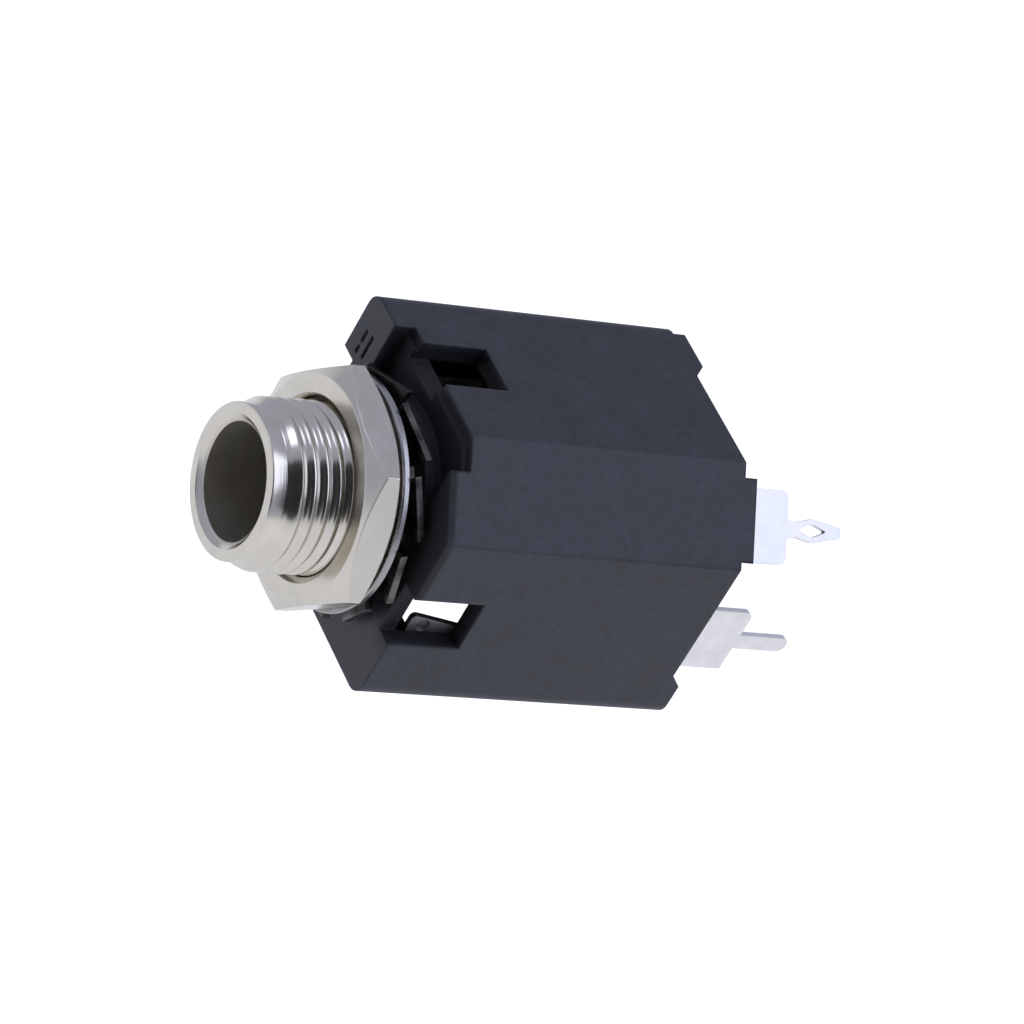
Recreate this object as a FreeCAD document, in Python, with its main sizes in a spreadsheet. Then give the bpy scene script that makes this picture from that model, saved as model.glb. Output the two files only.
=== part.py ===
import FreeCAD, Part
import math
import os

import Sketcher

# Panel jack socket for a 6.35 mm plug, with a threaded nose and board pins.
# Frame: the nose axis is the Y axis and points to -Y, the front face of the housing is y = 0,
# +Z is the normal of the top face and +X is the normal of the side face with the cut-off edge.

# Driving dimensions, in millimetres and degrees
SIZES = {
    "body_width": (15.7, "housing across its flat sides"),
    "body_length": (19.4, "housing from the front face to the back edge"),
    "cut_leg": (4.2, "cut-off long edge, along each side"),
    "corner_radius": (1.0, "long edges of the housing"),
    "inner_radius": (0.4, "long edges of the hollow"),
    "wall": (1.2, "housing wall"),
    "front_wall": (1.0, "front wall beside the nose"),
    "foot_height": (0.8, "feet beyond the back edge"),
    "recess_depth": (1.3, "recess in the front face"),
    "recess_left": (4.9, "recess from the nose axis towards -X"),
    "recess_right": (5.0, "recess from the nose axis towards +X"),
    "recess_low": (1.5, "lower end of the recess above the nose axis"),
    "boss_radius": (5.8, "round boss behind the washers"),
    "hub_radius": (5.5, "round seat of the nose flange"),
    "hub_back": (2.4, "back of the flange seat"),
    "slot_near": (0.36, "contact slots, side near the nose axis"),
    "slot_far": (3.7, "contact slots, side far from the nose axis"),
    "slot_back": (4.55, "contact slots behind the front face"),
    "top_slot_back": (5.35, "top contact slot behind the front face"),
    "slot_bite": (0.05, "contact slots below the wall's inner face"),
    "window_half": (3.2, "long window under the housing, half width"),
    "window_front": (4.7, "long window, front end"),
    "window_back": (12.4, "long window, back end"),
    "latch_front": (17.2, "latch window, front end"),
    "latch_length": (1.5, "latch window along the housing"),
    "latch_side": (1.4, "latch windows, near end from the nose axis"),
    "latch_width": (3.2, "latch windows across"),
    "foot_far": (6.85, "corner foot, far end from the nose axis"),
    "foot_near": (4.2, "corner feet, near end from the nose axis"),
    "foot_side": (5.4, "side foot from the nose axis"),
    "foot_cut_top": (4.25, "foot under the cut-off edge, end at the top face"),
    "foot_cut_side": (3.94, "foot under the cut-off edge, end at the side face"),
    "foot_depth": (1.8, "feet from the outside of the housing inwards"),
    "edge_round": (0.15, "small rounding of moulded edges"),
    "mark_depth": (0.12, "sunk mould mark"),
    "mark_stroke": (0.26, "mould mark, width of a stroke"),
    "thread_radius": (4.75, "crest of the nose thread"),
    "thread_pitch": (0.79375, "nose thread, 32 turns to the inch"),
    "thread_depth": (0.37, "depth of the nose thread"),
    "thread_flat": (0.04, "root of the nose thread, half width"),
    "thread_stop": (0.35, "end of the nose thread before the housing"),
    "nose_reach": (8.55, "nose in front of the housing"),
    "lead_radius": (4.3, "plain lead in front of the thread"),
    "lead_length": (0.9, "plain lead in front of the thread"),
    "lead_slope": (56.0, "slope behind the lead, in degrees from square across the nose"),
    "bore_radius": (3.25, "plug hole"),
    "mouth_radius": (3.62, "dished mouth of the plug hole"),
    "mouth_depth": (0.3, "dished mouth of the plug hole"),
    "flange_radius": (5.4, "flange of the nose behind the front wall"),
    "flange_thick": (0.9, "flange of the nose"),
    "bore_play": (0.05, "radial gap round the thread crest"),
    "washer_play": (0.15, "radial gap inside the washers"),
    "nut_flats": (12.7, "nut across its flats"),
    "nut_thick": (2.1, "nut"),
    "nut_front": (4.0, "front face of the nut before the housing"),
    "nut_turn": (48.0, "turn of the nut about the nose"),
    "nut_face": (6.15, "radius where the nut's chamfers meet its faces"),
    "nut_slope": (30.0, "slope of the nut's chamfers"),
    "nut_sink": (0.35, "countersinks of the nut"),
    "flat_radius": (6.65, "outside of the flat washer"),
    "flat_thick": (0.45, "flat washer"),
    "lock_thick": (0.4, "sheet of the lock washer"),
    "lock_root": (5.75, "root circle of the lock washer's teeth"),
    "lock_tip": (6.8, "tip circle of the lock washer's teeth"),
    "lock_width": (3.5, "lock washer tooth across"),
    "lock_twist": (12.5, "twist of a tooth at its tip"),
    "lock_place": (0.83, "middle of the lock washer before the housing"),
    "sheet": (0.35, "contact sheet"),
    "pin_shoulder": (23.3, "shoulders of the terminals behind the front face"),
    "pin_length": (3.5, "board pins beyond the shoulders"),
    "pin_half": (0.5, "board pins, half width"),
    "blade_round": (0.5, "rounded shoulders of the terminals"),
    "leaf_round": (0.3, "rounded front ends of the contacts"),
    "arm_near": (1.0, "contact arms, edge near the nose axis"),
    "arm_far": (2.6, "contact arms, edge far from the nose axis"),
    "arm_gap": (0.15, "gap beside the ring arm in its window"),
    "arm_root": (0.6, "bend at the root of a contact arm"),
    "arm_nose": (0.8, "bend of a contact arm where it meets the plug"),
    "touch_radius": (2.6, "contact arms from the nose axis where they meet the plug"),
    "lift_radius": (3.3, "free ends of the contact arms from the nose axis"),
    "lift_length": (1.3, "free ends of the contact arms beyond their bend"),
    "root_length": (1.2, "root of a contact arm before its bend"),
    "sleeve_front": (1.6, "front end of the sleeve contact"),
    "sleeve_wide": (5.0, "front of the sleeve contact's full width"),
    "sleeve_near": (0.55, "sleeve terminal, edge near the nose axis"),
    "sleeve_far": (4.92, "sleeve terminal, edge far from the nose axis"),
    "sleeve_tail": (3.2, "sleeve contact in front of its terminal, near edge"),
    "sleeve_leaf_near": (2.56, "front end of the sleeve contact, near edge"),
    "sleeve_leaf_far": (4.5, "front end of the sleeve contact, far edge"),
    "sleeve_bend": (14.4, "sleeve arm leaves the wall"),
    "sleeve_touch": (8.2, "sleeve arm meets the plug"),
    "sleeve_pin": (2.79, "sleeve board pin below the nose axis"),
    "dimple_radius": (0.4, "dimple of the sleeve contact"),
    "dimple_place": (2.5, "dimple behind the front face"),
    "dimple_low": (3.25, "dimple below the nose axis"),
    "ring_front": (4.4, "front end of the ring contact"),
    "ring_back": (8.6, "back of the ring contact's window"),
    "ring_far": (4.4, "ring terminal, edge far from the nose axis"),
    "ring_over": (3.5, "ring contact above the nose axis"),
    "ring_bend": (6.2, "ring arm leaves the wall"),
    "ring_touch": (13.2, "ring arm meets the plug"),
    "ring_pin": (2.2, "ring board pin below the nose axis"),
    "tip_near": (1.72, "tip terminal from the middle of the cut-off side, towards the top"),
    "tip_far": (2.42, "tip terminal from the middle of the cut-off side, away from the top"),
    "tip_pin": (0.4, "tip board pin from the middle of the cut-off side"),
    "tip_arm_half": (1.1, "tip arm, half width"),
    "tip_fold": (4.4, "tip arm folds back"),
    "tip_fold_depth": (1.5, "depth of the tip arm's fold"),
    "tip_fold_round": (0.74, "bends of the tip arm's fold"),
    "tip_dip": (7.5, "tip arm turns inwards"),
    "tip_touch": (15.6, "tip arm meets the plug"),
    "tip_grow": (14.5, "tip contact begins to widen"),
    "tip_wide": (15.6, "front of the tip contact's full width"),
    "eyed_longer": (0.2, "eyed board pin longer than the plain ones"),
    "eyed_neck": (0.42, "eyed board pin, half width of its neck"),
    "eyed_neck_place": (0.6, "neck of the eyed board pin beyond the shoulders"),
    "eyed_half": (0.68, "eyed board pin, half width at its eye"),
    "eyed_place": (1.75, "middle of the eye beyond the shoulders"),
    "eyed_end": (0.3, "eyed board pin, half width of its end"),
    "eye_half": (0.4, "eye, half width"),
    "eye_reach": (1.0, "eye, half length"),
    "insert_front": (17.0, "front of the insert's back plate"),
    "insert_sink": (0.05, "insert below the back edge of the housing"),
    "insert_play": (0.04, "gap round the insert"),
    "guide_outer": (4.6, "plug guide, outside"),
    "guide_inner": (3.5, "plug guide, inside"),
    "arm_room": (0.4, "room beside a contact arm in the plug guide"),
    "arm_run": (0.9, "room before and behind a contact arm in the plug guide"),
    "exit_radius": (3.7, "hole for the plug's tip in the back plate"),
    "latch_play": (0.05, "gap round the insert's latches"),
    "latch_reach": (0.75, "latches beyond the insert's side"),
}


class Size:
    """A number together with the sheet expression that gives it."""

    def __init__(self, value, text):
        self.value = value
        self.text = text

    def _join(self, sign, other, value):
        return Size(value, "(%s %s %s)" % (self.text, sign, other.text))

    def __add__(self, other):
        other = size(other)
        return self._join("+", other, self.value + other.value)

    def __radd__(self, other):
        return size(other) + self

    def __sub__(self, other):
        other = size(other)
        return self._join("-", other, self.value - other.value)

    def __rsub__(self, other):
        return size(other) - self

    def __mul__(self, other):
        other = size(other)
        return self._join("*", other, self.value * other.value)

    def __rmul__(self, other):
        return size(other) * self

    def __truediv__(self, other):
        other = size(other)
        return self._join("/", other, self.value / other.value)

    def __neg__(self):
        return Size(-self.value, "(-1 * %s)" % self.text)


def size(number):
    if isinstance(number, Size):
        return number
    return Size(float(number), "(%.6f)" % number)


def tangent(angle):
    return Size(math.tan(math.radians(angle.value)), "tan(%s)" % angle.text)


document = FreeCAD.newDocument("jack_socket")


def make_sheet():
    sheet = document.addObject("Spreadsheet::Sheet", "Sizes")
    names = {}
    for row, (name, (value, note)) in enumerate(SIZES.items(), start=1):
        sheet.set("A%d" % row, name)
        sheet.set("B%d" % row, str(value))
        sheet.set("C%d" % row, note)
        sheet.setAlias("B%d" % row, name)
        names[name] = Size(value, "Sizes." + name)
    return names


class Names:
    """The sheet's aliases as attributes."""

    def __init__(self, names):
        self.__dict__.update(names)


d = Names(make_sheet())
document.recompute()
ROOT_HALF = math.sqrt(0.5)
THREAD_SLOPE = math.tan(math.radians(30))

# Places that several pieces share
half = d.body_width / 2
inner_half = half - d.wall
cut_reach = (d.body_width - d.cut_leg) * ROOT_HALF
inner_cut = d.cut_leg - d.wall * (2 - math.sqrt(2))
wall_hole = d.thread_radius + d.bore_play
washer_hole = d.thread_radius + d.washer_play
flange_back = d.hub_back + d.flange_thick
insert_back = d.body_length - d.insert_sink
insert_half = inner_half - d.insert_play
sheet_inner = inner_half - d.sheet


def new_body(label):
    body = document.addObject("PartDesign::Body", label)
    body.Label = label
    return body


def new_sketch(body, name, role, offset=0):
    """A sketch on one of the body's origin planes, moved along the plane's normal."""
    sketch = body.newObject("Sketcher::SketchObject", name)
    plane = [item for item in body.Origin.OriginFeatures if item.Role == role][0]
    sketch.AttachmentSupport = [(plane, "")]
    sketch.MapMode = "FlatFace"
    offset = size(offset)
    sketch.setExpression("AttachmentOffset.Base.z", offset.text)
    return sketch


def across_nose(body, name, y):
    """A sketch square to the nose at height y: its own axes are X and Z."""
    return new_sketch(body, name, "XZ_Plane", -size(y))


def bind(sketch, kind, *places, to):
    """One sketch constraint bound to a size."""
    index = sketch.addConstraint(Sketcher.Constraint(kind, *places, to.value))
    sketch.setExpression("Constraints[%d]" % index, to.text)


def pin_point(sketch, geometry, position, x, y):
    bind(sketch, "DistanceX", -1, 1, geometry, position, to=size(x))
    bind(sketch, "DistanceY", -1, 1, geometry, position, to=size(y))


def circle(sketch, x, y, radius):
    x, y, radius = size(x), size(y), size(radius)
    centre = FreeCAD.Vector(x.value, y.value, 0)
    index = sketch.addGeometry(Part.Circle(centre, FreeCAD.Vector(0, 0, 1), radius.value), False)
    pin_point(sketch, index, 3, x, y)
    bind(sketch, "Radius", index, to=radius)


def corner_arc(before, corner, after, radius):
    """The arc that rounds one corner, whether it turns left, and its two ends."""
    back = (before - corner).normalize()
    ahead = (after - corner).normalize()
    opening = back.getAngle(ahead)
    reach = radius / math.tan(opening / 2)
    first = corner + back * reach
    last = corner + ahead * reach
    middle = (back + ahead).normalize()
    centre = corner + middle * (radius / math.sin(opening / 2))
    left = back.cross(ahead).z < 0
    low, high = (first, last) if left else (last, first)
    start = math.atan2(low.y - centre.y, low.x - centre.x)
    end = math.atan2(high.y - centre.y, high.x - centre.x)
    ring = Part.Circle(centre, FreeCAD.Vector(0, 0, 1), radius)
    if end < start:
        end += 2 * math.pi
    return Part.ArcOfCircle(ring, start, end), left, first, last


def outline(sketch, corners, closed=True):
    """Straight runs through the corners (x, y) or (x, y, radius), rounded where a radius is given."""
    corners = [tuple(size(number) for number in corner) for corner in corners]
    spots = [FreeCAD.Vector(corner[0].value, corner[1].value, 0) for corner in corners]
    count = len(corners)
    arrive, leave, arcs = list(spots), list(spots), {}
    for index, corner in enumerate(corners):
        if len(corner) < 3:
            continue
        arc, left, first, last = corner_arc(
            spots[index - 1], spots[index], spots[(index + 1) % count], corner[2].value)
        arrive[index], leave[index] = first, last
        arcs[index] = (arc, left)
    runs = count if closed else count - 1
    lines = [
        sketch.addGeometry(Part.LineSegment(leave[index], arrive[(index + 1) % count]), False)
        for index in range(runs)]
    for index, corner in enumerate(corners):
        after = lines[index] if index < runs else None
        before = lines[index - 1] if closed or index > 0 else None
        if index not in arcs:
            if after is None:
                pin_point(sketch, before, 2, corner[0], corner[1])
                continue
            pin_point(sketch, after, 1, corner[0], corner[1])
            if before is not None:
                sketch.addConstraint(Sketcher.Constraint("Coincident", before, 2, after, 1))
            continue
        arc, left = arcs[index]
        bend = sketch.addGeometry(arc, False)
        entry, way_out = (1, 2) if left else (2, 1)
        sketch.addConstraint(Sketcher.Constraint("Tangent", before, 2, bend, entry))
        sketch.addConstraint(Sketcher.Constraint("Tangent", bend, way_out, after, 1))
        bind(sketch, "Radius", bend, to=corner[2])
        point = sketch.addGeometry(Part.Point(spots[index]), True)
        pin_point(sketch, point, 1, corner[0], corner[1])
        sketch.addConstraint(Sketcher.Constraint("PointOnObject", point, 1, before))
        sketch.addConstraint(Sketcher.Constraint("PointOnObject", point, 1, after))


def box_outline(sketch, x_low, y_low, x_high, y_high):
    outline(sketch, [(x_low, y_low), (x_high, y_low), (x_high, y_high), (x_low, y_high)])


def feature(body, kind, name, sketch, length, reverse):
    """A Pad or Pocket of one sketch."""
    item = body.newObject("PartDesign::" + kind, name)
    item.Profile = sketch
    item.setExpression("Length", size(length).text)
    item.Reversed = reverse
    sketch.Visibility = False
    return item


def pad(body, name, sketch, length, reverse=False):
    return feature(body, "Pad", name, sketch, length, reverse)


def pocket(body, name, sketch, length, reverse=False):
    """A Pocket that has to take some material away, along the sketch's normal unless reversed."""
    document.recompute()
    before = body.Shape.Volume
    item = feature(body, "Pocket", name, sketch, length, not reverse)
    document.recompute()
    if not body.Shape.Volume < before - 1e-4:
        raise RuntimeError("pocket %s takes nothing away" % name)
    return item


def spin(body, kind, name, sketch, axis):
    """A Revolution or Groove of one sketch about an axis of the sketch."""
    item = body.newObject("PartDesign::" + kind, name)
    item.Profile = sketch
    item.ReferenceAxis = (sketch, [axis])
    item.Angle = 360
    sketch.Visibility = False
    return item


def dress(body, kind, name, radius, wanted):
    """A Fillet or Chamfer on the edges that the test picks."""
    document.recompute()
    base = body.Tip
    names = ["Edge%d" % (index + 1) for index, edge in enumerate(base.Shape.Edges) if wanted(edge)]
    if not names:
        raise RuntimeError("%s finds no edge" % name)
    item = body.newObject("PartDesign::" + kind, name)
    item.Base = (base, names)
    item.setExpression("Radius" if kind == "Fillet" else "Size", size(radius).text)
    document.recompute()
    return item


def near(number, other):
    return abs(number - other) < 1e-3


def edge_middle(edge):
    return edge.valueAt((edge.FirstParameter + edge.LastParameter) / 2)


def along_nose(edge):
    """Whether a straight edge runs along the nose axis."""
    if edge.Curve.TypeId != "Part::GeomLine":
        return False
    return abs(edge.Curve.Direction.y) > 0.999


# Housing

def shell_corners(reach, cut):
    """The section of the housing or of its hollow, seen along the nose."""
    return [(-reach, -reach), (reach, -reach), (reach, reach - cut), (reach - cut, reach), (-reach, reach)]


def rounded(corners, radius, sharp=()):
    return [corner if index in sharp else corner + (radius,) for index, corner in enumerate(corners)]


def cut_front(body):
    """Recess beside the nose, with the round boss left standing in it."""
    recess = across_nose(body, "recess_outline", 0)
    box_outline(recess, -d.recess_left, d.recess_low, d.recess_right, half + d.wall)
    pocket(body, "recess", recess, d.recess_depth, reverse=True)
    boss = across_nose(body, "boss_outline", 0)
    circle(boss, 0, 0, d.boss_radius)
    pad(body, "boss", boss, d.recess_depth, reverse=True)


def cut_hollow(body):
    """The hollow is open at the back, and its front wall steps back behind the recess."""
    hollow = across_nose(body, "hollow_outline", d.front_wall)
    outline(hollow, rounded(shell_corners(inner_half, inner_cut), d.inner_radius, sharp=(2, 3)))
    pocket(body, "hollow", hollow, d.body_length, reverse=True)
    hub = across_nose(body, "hub_outline", d.front_wall)
    circle(hub, 0, 0, d.hub_radius)
    pad(body, "hub", hub, d.hub_back - d.front_wall, reverse=True)
    step = across_nose(body, "recess_back_outline", d.front_wall)
    right = d.recess_right + d.front_wall
    upper = inner_half + d.wall / 2
    sloped = d.body_width - d.cut_leg - d.wall / 2
    outline(step, [
        (-d.recess_left - d.front_wall, d.recess_low - d.front_wall), (right, d.recess_low - d.front_wall),
        (right, sloped - right), (sloped - upper, upper), (-d.recess_left - d.front_wall, upper)])
    pad(body, "recess_back", step, d.recess_depth, reverse=True)
    hole = across_nose(body, "nose_hole_outline", 0)
    circle(hole, 0, 0, wall_hole)
    pocket(body, "nose_hole", hole, d.hub_back * 2, reverse=True)


def cut_slots(body):
    """Front-open slots over the contacts' free ends, one in each flat side."""
    depth = d.wall + d.slot_bite
    top = new_sketch(body, "top_slot_outline", "XY_Plane", half - depth)
    box_outline(top, -d.slot_far, -d.wall, -d.slot_near, d.top_slot_back)
    pocket(body, "top_slot", top, depth + d.wall)
    side = new_sketch(body, "side_slot_outline", "YZ_Plane", half - depth)
    box_outline(side, -d.wall, -d.slot_far, d.slot_back, -d.slot_near)
    pocket(body, "side_slot", side, depth + d.wall)
    back = new_sketch(body, "hidden_slot_outline", "YZ_Plane", depth - half)
    box_outline(back, -d.wall, d.slot_near, d.slot_back, d.slot_far)
    pocket(body, "hidden_slot", back, depth + d.wall, reverse=True)
    window = new_sketch(body, "window_outline", "XY_Plane", depth - half)
    outline(window, rounded([
        (-d.window_half, d.window_front), (d.window_half, d.window_front),
        (d.window_half, d.window_back), (-d.window_half, d.window_back)], d.inner_radius))
    pocket(body, "window", window, depth + d.wall, reverse=True)


def cut_latches(body):
    """Windows for the insert's latches in the two far sides."""
    depth = d.wall + d.slot_bite
    low = d.latch_front
    high = d.latch_front + d.latch_length
    side = new_sketch(body, "side_latch_outline", "YZ_Plane", depth - half)
    box_outline(side, low, d.latch_side, high, d.latch_side + d.latch_width)
    pocket(body, "side_latch", side, depth + d.wall, reverse=True)
    under = new_sketch(body, "under_latch_outline", "XY_Plane", depth - half)
    box_outline(under, -d.latch_width / 2, low, d.latch_width / 2, high)
    pocket(body, "under_latch", under, depth + d.wall, reverse=True)


def cut_feet(body):
    """The rim is cut back between the four feet, whose inner ends slope."""
    over = d.body_length + d.foot_height + d.wall
    rise = over - d.body_length
    depth = d.foot_depth
    slope = d.foot_height
    side = new_sketch(body, "foot_gap_side", "YZ_Plane", half - depth)
    outline(side, [
        (d.body_length, slope - d.foot_side), (over, slope - d.foot_side - rise),
        (over, d.foot_cut_side), (d.body_length, d.foot_cut_side)])
    pocket(body, "foot_gap_side_cut", side, depth * 2)
    upper = new_sketch(body, "foot_gap_upper", "XY_Plane", half - depth)
    outline(upper, [
        (slope - d.foot_near, d.body_length), (slope - d.foot_near - rise, over),
        (d.foot_cut_top, over), (d.foot_cut_top, d.body_length)])
    pocket(body, "foot_gap_upper_cut", upper, depth * 2)
    corner = across_nose(body, "foot_gap_corner", d.body_length)
    outline(corner, [
        (-half - d.wall, half + d.wall), (-half - d.wall, -d.foot_near), (depth - half, -d.foot_near),
        (depth - half, half - depth), (-d.foot_far, half - depth), (-d.foot_far, half + d.wall)])
    pocket(body, "foot_gap_corner_cut", corner, rise, reverse=True)
    under = across_nose(body, "foot_gap_under", d.body_length)
    box_outline(under, -d.foot_near, -half - d.wall, d.foot_near, depth - half)
    pocket(body, "foot_gap_under_cut", under, rise, reverse=True)


# Strokes of the mould mark on the front face, each from its lower to its upper end
MARK_STROKES = ((-6.7, 4.95, 5.8), (-6.7, 4.2, 4.7), (-6.0, 4.4, 5.95))


def sink_mark(body):
    """The mould mark on the corner of the front face."""
    reach = d.mark_stroke / 2
    for number, (x, z_low, z_high) in enumerate(MARK_STROKES):
        stroke = across_nose(body, "mark_outline_%d" % number, 0)
        box_outline(stroke, x - reach, z_low, x + reach, z_high)
        pocket(body, "mark_%d" % number, stroke, d.mark_depth, reverse=True)


def make_housing():
    body = new_body("housing")
    section = across_nose(body, "section", 0)
    outline(section, rounded(shell_corners(half, d.cut_leg), d.corner_radius, sharp=(2, 3)))
    pad(body, "block", section, d.body_length + d.foot_height, reverse=True)
    cut_front(body)
    cut_hollow(body)
    cut_slots(body)
    cut_latches(body)
    cut_feet(body)
    sink_mark(body)

    def cut_edge(edge):
        spot = edge_middle(edge)
        return along_nose(edge) and near(spot.x + spot.z, (d.body_width - d.cut_leg).value) and (
            near(spot.x, half.value) or near(spot.z, half.value))

    dress(body, "Fillet", "cut_rounding", d.edge_round, cut_edge)
    return body


# Rear insert

def turned(across, out):
    """A place given along the cut-off side and out from the axis, as X and Z."""
    return ((out + across) * ROOT_HALF, (out - across) * ROOT_HALF)


def notch(body, name, corners):
    sketch = across_nose(body, name + "_outline", d.insert_front)
    outline(sketch, corners)
    pocket(body, name, sketch, d.body_length, reverse=True)


# The contact arms' slots start inside the plug guide's bore, at this share of its radius
SLOT_START = 0.3


def arm_slot(body, name, place, low, high, front, back):
    """An opening through the plug guide for one contact arm; place gives X and Z across it."""
    inner = d.guide_inner * SLOT_START
    outer = d.guide_outer + d.arm_run
    sketch = across_nose(body, name + "_outline", front)
    outline(sketch, [place(low, inner), place(high, inner), place(high, outer), place(low, outer)])
    pocket(body, name, sketch, back - front, reverse=True)


def make_insert():
    body = new_body("rear_insert")
    plate = across_nose(body, "plate_outline", d.insert_front)
    outline(plate, rounded(shell_corners(insert_half, inner_cut), d.inner_radius, sharp=(2, 3)))
    pad(body, "plate", plate, insert_back - d.insert_front, reverse=True)
    guide = across_nose(body, "guide_outline", flange_back)
    circle(guide, 0, 0, d.guide_outer)
    circle(guide, 0, 0, d.guide_inner)
    pad(body, "guide", guide, insert_back - flange_back, reverse=True)
    hole = across_nose(body, "exit_outline", d.insert_front)
    circle(hole, 0, 0, d.exit_radius)
    pocket(body, "exit_hole", hole, d.body_length, reverse=True)
    over = inner_half + d.wall
    play = d.latch_play
    notch(body, "sleeve_notch", [
        (sheet_inner, -d.sleeve_far - play), (over, -d.sleeve_far - play),
        (over, play - d.sleeve_near), (sheet_inner, play - d.sleeve_near)])
    notch(body, "ring_notch", [
        (-sheet_inner, -d.ring_far - play), (-over, -d.ring_far - play),
        (-over, play), (-sheet_inner, play)])
    tip_inner = cut_reach - d.wall - d.sheet
    tip_over = cut_reach + d.wall
    notch(body, "tip_notch", [
        turned(-d.tip_near - play, tip_inner), turned(d.tip_far + play, tip_inner),
        turned(d.tip_far + play, tip_over), turned(-d.tip_near - play, tip_over)])
    low, high = -d.arm_far - d.arm_room, d.arm_room - d.arm_near
    arm_slot(body, "sleeve_slot", lambda across, out: (out, across), low, high,
             d.sleeve_touch - d.lift_length - d.arm_run, d.sleeve_bend - d.arm_run * 2)
    arm_slot(body, "ring_slot", lambda across, out: (-out, -across), low, high,
             d.ring_bend + d.arm_run * 2, d.ring_touch + d.lift_length + d.arm_run)
    reach = d.tip_arm_half + d.arm_room
    arm_slot(body, "tip_slot", turned, -reach, reach, d.tip_fold - d.arm_run, d.insert_front)
    low = d.latch_front + d.latch_play
    high = low + d.latch_length - d.latch_play * 2
    side = new_sketch(body, "side_latch_outline", "YZ_Plane", -insert_half - d.latch_reach)
    box_outline(side, low, d.latch_side + d.latch_play, high, d.latch_side + d.latch_width - d.latch_play)
    pad(body, "side_latch", side, d.latch_reach + d.insert_play)
    under = new_sketch(body, "under_latch_outline", "XY_Plane", -insert_half - d.latch_reach)
    box_outline(under, d.latch_play - d.latch_width / 2, low, d.latch_width / 2 - d.latch_play, high)
    pad(body, "under_latch", under, d.latch_reach + d.insert_play)
    return body


# Nose, nut and washers

def make_nose():
    body = new_body("nose_bush")
    tip = -d.nose_reach
    lead = tip + d.lead_length
    slope_length = (d.thread_radius - d.lead_radius) * tangent(d.lead_slope)
    edge = d.edge_round
    profile = new_sketch(body, "profile", "XY_Plane")
    outline(profile, [
        (d.bore_radius, tip + d.mouth_depth), (d.mouth_radius, tip), (d.lead_radius - edge, tip),
        (d.lead_radius, tip + edge), (d.lead_radius, lead), (d.thread_radius, lead + slope_length),
        (d.thread_radius, d.hub_back), (d.flange_radius, d.hub_back), (d.flange_radius, flange_back),
        (d.bore_radius + edge, flange_back), (d.bore_radius, flange_back - edge)])
    spin(body, "Revolution", "turned_shape", profile, "V_Axis")
    cut_thread(body, lead + d.thread_pitch / 2)
    return body


def cut_thread(body, start):
    """A right-hand thread that starts in the slope behind the lead."""
    over = d.edge_round
    root = d.thread_radius - d.thread_depth
    wide = d.thread_flat + (d.thread_depth + over) * THREAD_SLOPE
    groove = new_sketch(body, "thread_outline", "XY_Plane")
    outline(groove, [
        (root, start - d.thread_flat), (d.thread_radius + over, start - wide),
        (d.thread_radius + over, start + wide), (root, start + d.thread_flat)])
    thread = body.newObject("PartDesign::SubtractiveHelix", "thread")
    thread.Profile = groove
    thread.ReferenceAxis = (groove, ["V_Axis"])
    thread.Mode = 0
    thread.setExpression("Pitch", d.thread_pitch.text)
    thread.setExpression("Height", (-start - d.thread_stop).text)
    thread.LeftHanded = False
    groove.Visibility = False


def make_nut():
    body = new_body("hex_nut")
    hexagon = across_nose(body, "hexagon", 0)
    corner = d.nut_flats / math.sqrt(3)
    outline(hexagon, [
        (corner * math.cos(math.radians(60 * step)), corner * math.sin(math.radians(60 * step)))
        for step in range(6)])
    pad(body, "block", hexagon, d.nut_thick, reverse=True)
    rise = tangent(d.nut_slope)
    outside = corner + 1
    drop = (outside - d.nut_face) * rise
    for name, face, way in (("front", size(0), 1), ("back", d.nut_thick, -1)):
        cone = new_sketch(body, name + "_chamfer_outline", "XY_Plane")
        outline(cone, [
            (d.nut_face, face), (outside, face + drop * way), (outside, face - way),
            (d.nut_face, face - way)])
        spin(body, "Groove", name + "_chamfer", cone, "V_Axis")
    hole = across_nose(body, "hole_outline", 0)
    circle(hole, 0, 0, wall_hole)
    pocket(body, "hole", hole, d.nut_thick * 2, reverse=True)
    for name, face, way in (("front", size(0), 1), ("back", d.nut_thick, -1)):
        sink = new_sketch(body, name + "_sink_outline", "XY_Plane")
        outline(sink, [
            (wall_hole - 1, face), (wall_hole + d.nut_sink, face), (wall_hole, face + d.nut_sink * way),
            (wall_hole - 1, face + d.nut_sink * way)])
        spin(body, "Groove", name + "_sink", sink, "V_Axis")
    body.Placement = FreeCAD.Placement(FreeCAD.Vector(), FreeCAD.Rotation(FreeCAD.Vector(0, 1, 0), 0))
    body.setExpression("Placement.Base.y", (-d.nut_front).text)
    body.setExpression("Placement.Rotation.Angle", (-d.nut_turn).text)
    return body


def make_flat_washer():
    body = new_body("flat_washer")
    ring = across_nose(body, "ring", 0)
    circle(ring, 0, 0, d.flat_radius)
    circle(ring, 0, 0, washer_hole)
    pad(body, "disc", ring, d.flat_thick, reverse=True)

    def rim(edge):
        return edge.Curve.TypeId == "Part::GeomCircle" and near(edge.Curve.Radius, d.flat_radius.value)

    dress(body, "Chamfer", "rim_chamfer", d.edge_round * 0.6, rim)
    body.setExpression("Placement.Base.y", (d.nut_thick - d.nut_front).text)
    return body


TOOTH_COUNT = 10
# Share of a tooth's width, and of the ring's thickness, where the tooth leaves the ring
TOOTH_ROOT_WIDTH = 0.8
TOOTH_ROOT_THICKNESS = 0.9


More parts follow.
